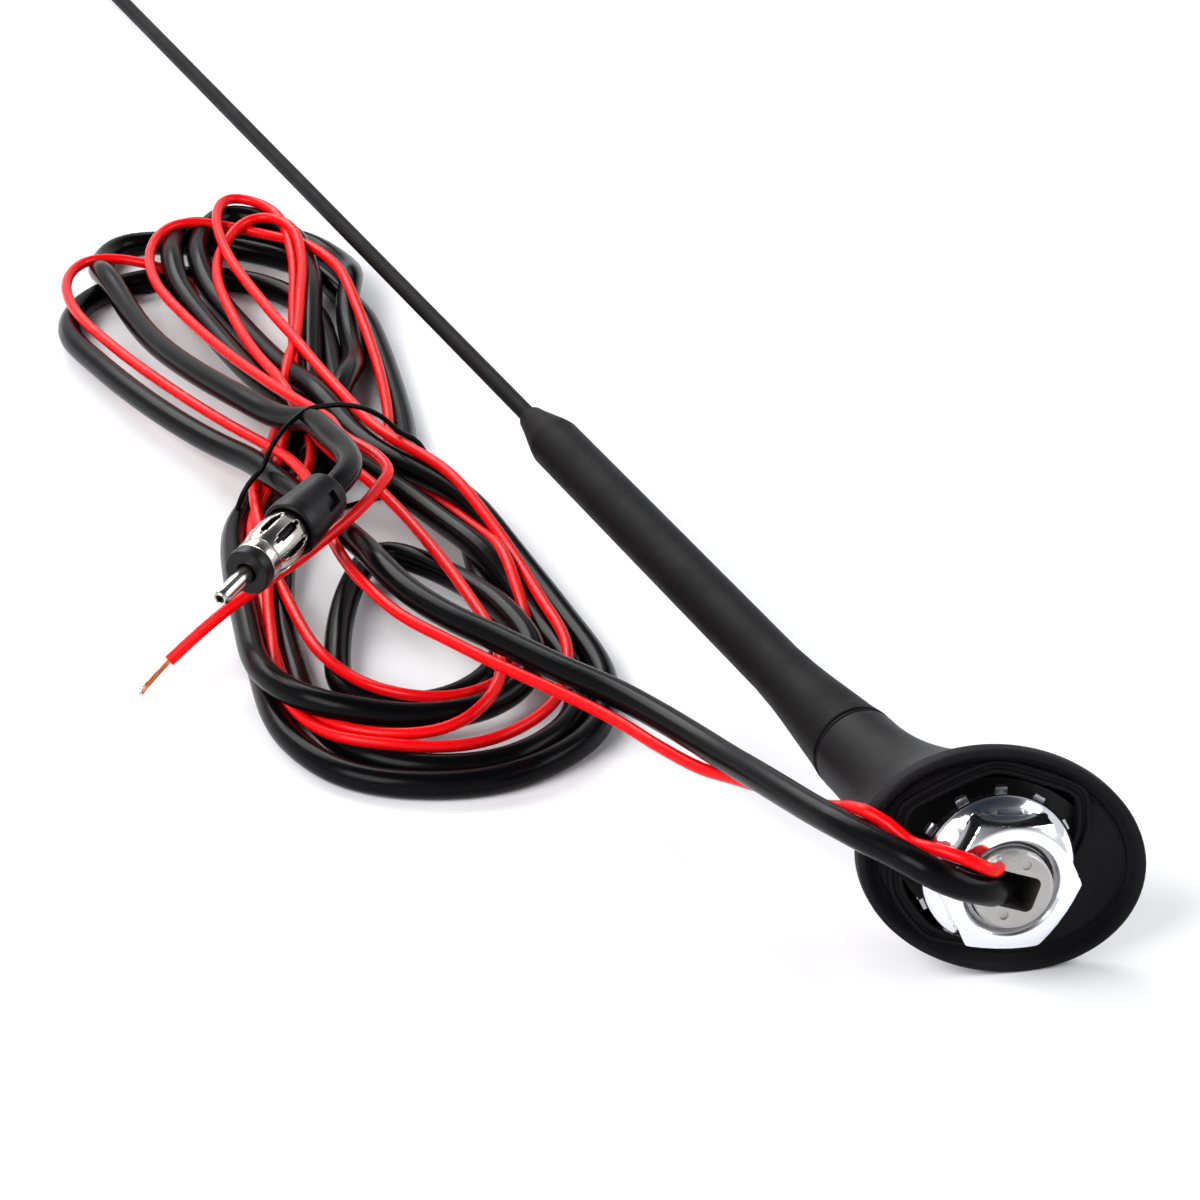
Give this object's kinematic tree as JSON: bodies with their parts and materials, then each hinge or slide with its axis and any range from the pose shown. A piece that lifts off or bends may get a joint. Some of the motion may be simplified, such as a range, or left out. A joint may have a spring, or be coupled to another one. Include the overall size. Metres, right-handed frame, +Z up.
{
  "type": "car roof antenna",
  "caption": "Amplified radio antenna for a car roof: a screw-in rubber mast on an oval foot with a hollow stud, a flange nut, a power wire and a coiled coaxial lead with a plug.",
  "frame": {"origin": "on the table under the middle of the antenna, which lies on its side; the lead is left out of that middle", "axes": "+X along the mast from the foot to the tip, +Z up from the table, +Y towards the coiled lead"},
  "size_m": [0.565, 0.1353, 0.0415],
  "materials": {
    "rubber": "matte, fine moulded grain",
    "shell_plastic": "satin moulded",
    "gasket_rubber": "soft matte",
    "chrome": "mirror plated",
    "zinc": "satin die-cast",
    "steel": "zinc plated",
    "brass": "turned",
    "nickel": "nickel plated",
    "black_pvc": "satin gloss",
    "red_pvc": "gloss",
    "board_green": "solder mask",
    "component_black": "satin moulded",
    "copper": "bare stranded wire"
  },
  "bodies": {
    "base": {"base_shell": "shell_plastic", "base_gasket": "gasket_rubber", "base_casting": "component_black", "mounting_stud": "zinc", "amplifier_board": "board_green", "amplifier_transistor": "component_black", "amplifier_capacitor": "steel", "amplifier_coil": "copper", "contact_strip": "brass", "casting_screw_a": "steel", "casting_screw_b": "steel", "neck_insulator": "component_black", "mast_socket": "brass", "coax_lead": "black_pvc", "red_lead": "red_pvc", "cable_hank": "black_pvc", "bundle_tie": "black_pvc", "coax_tail": "black_pvc", "red_tail": "red_pvc", "copper_strands": "copper", "plug_sleeve": "component_black", "plug_contact": "nickel", "plug_collar": "nickel", "plug_insulator": "component_black", "plug_pin": "nickel"},
    "seal": {"mast_seal": "rubber"},
    "mast": {"mast_grip": "rubber", "mast_rod_sleeve": "rubber", "mast_core": "steel", "mast_tip": "rubber", "mast_screw_insert": "brass"},
    "washer": {"claw_washer": "steel"},
    "nut": {"flange_nut": "chrome"}
  },
  "joints": [
    {"name": "mast_thread_travel", "type": "slide", "parent": "base", "child": "seal", "axis": [0.9992, 0, -0.0391], "range_m": [0, 0.0081]},
    {"name": "mast_turn", "type": "hinge", "parent": "seal", "child": "mast", "pos_m": [-0.266, 0.00855, 0.02388], "axis": [0.9992, 0, -0.0391], "range_deg": [0, 3600]},
    {"name": "nut_thread_travel", "type": "slide", "parent": "base", "child": "washer", "axis": [0.9862, -0.138, -0.0916], "range_m": [0, 0.00225]},
    {"name": "nut_turn", "type": "hinge", "parent": "washer", "child": "nut", "pos_m": [-0.26705, 0.00255, 0.02162], "axis": [0.9862, -0.138, -0.0916], "range_deg": [0, 540]}
  ],
  "couplings": [
    {"joint": "mast_thread_travel", "follows": "mast_turn", "m_per_rad": 0.00012732},
    {"joint": "nut_thread_travel", "follows": "nut_turn", "m_per_rad": 0.00023873}
  ]
}
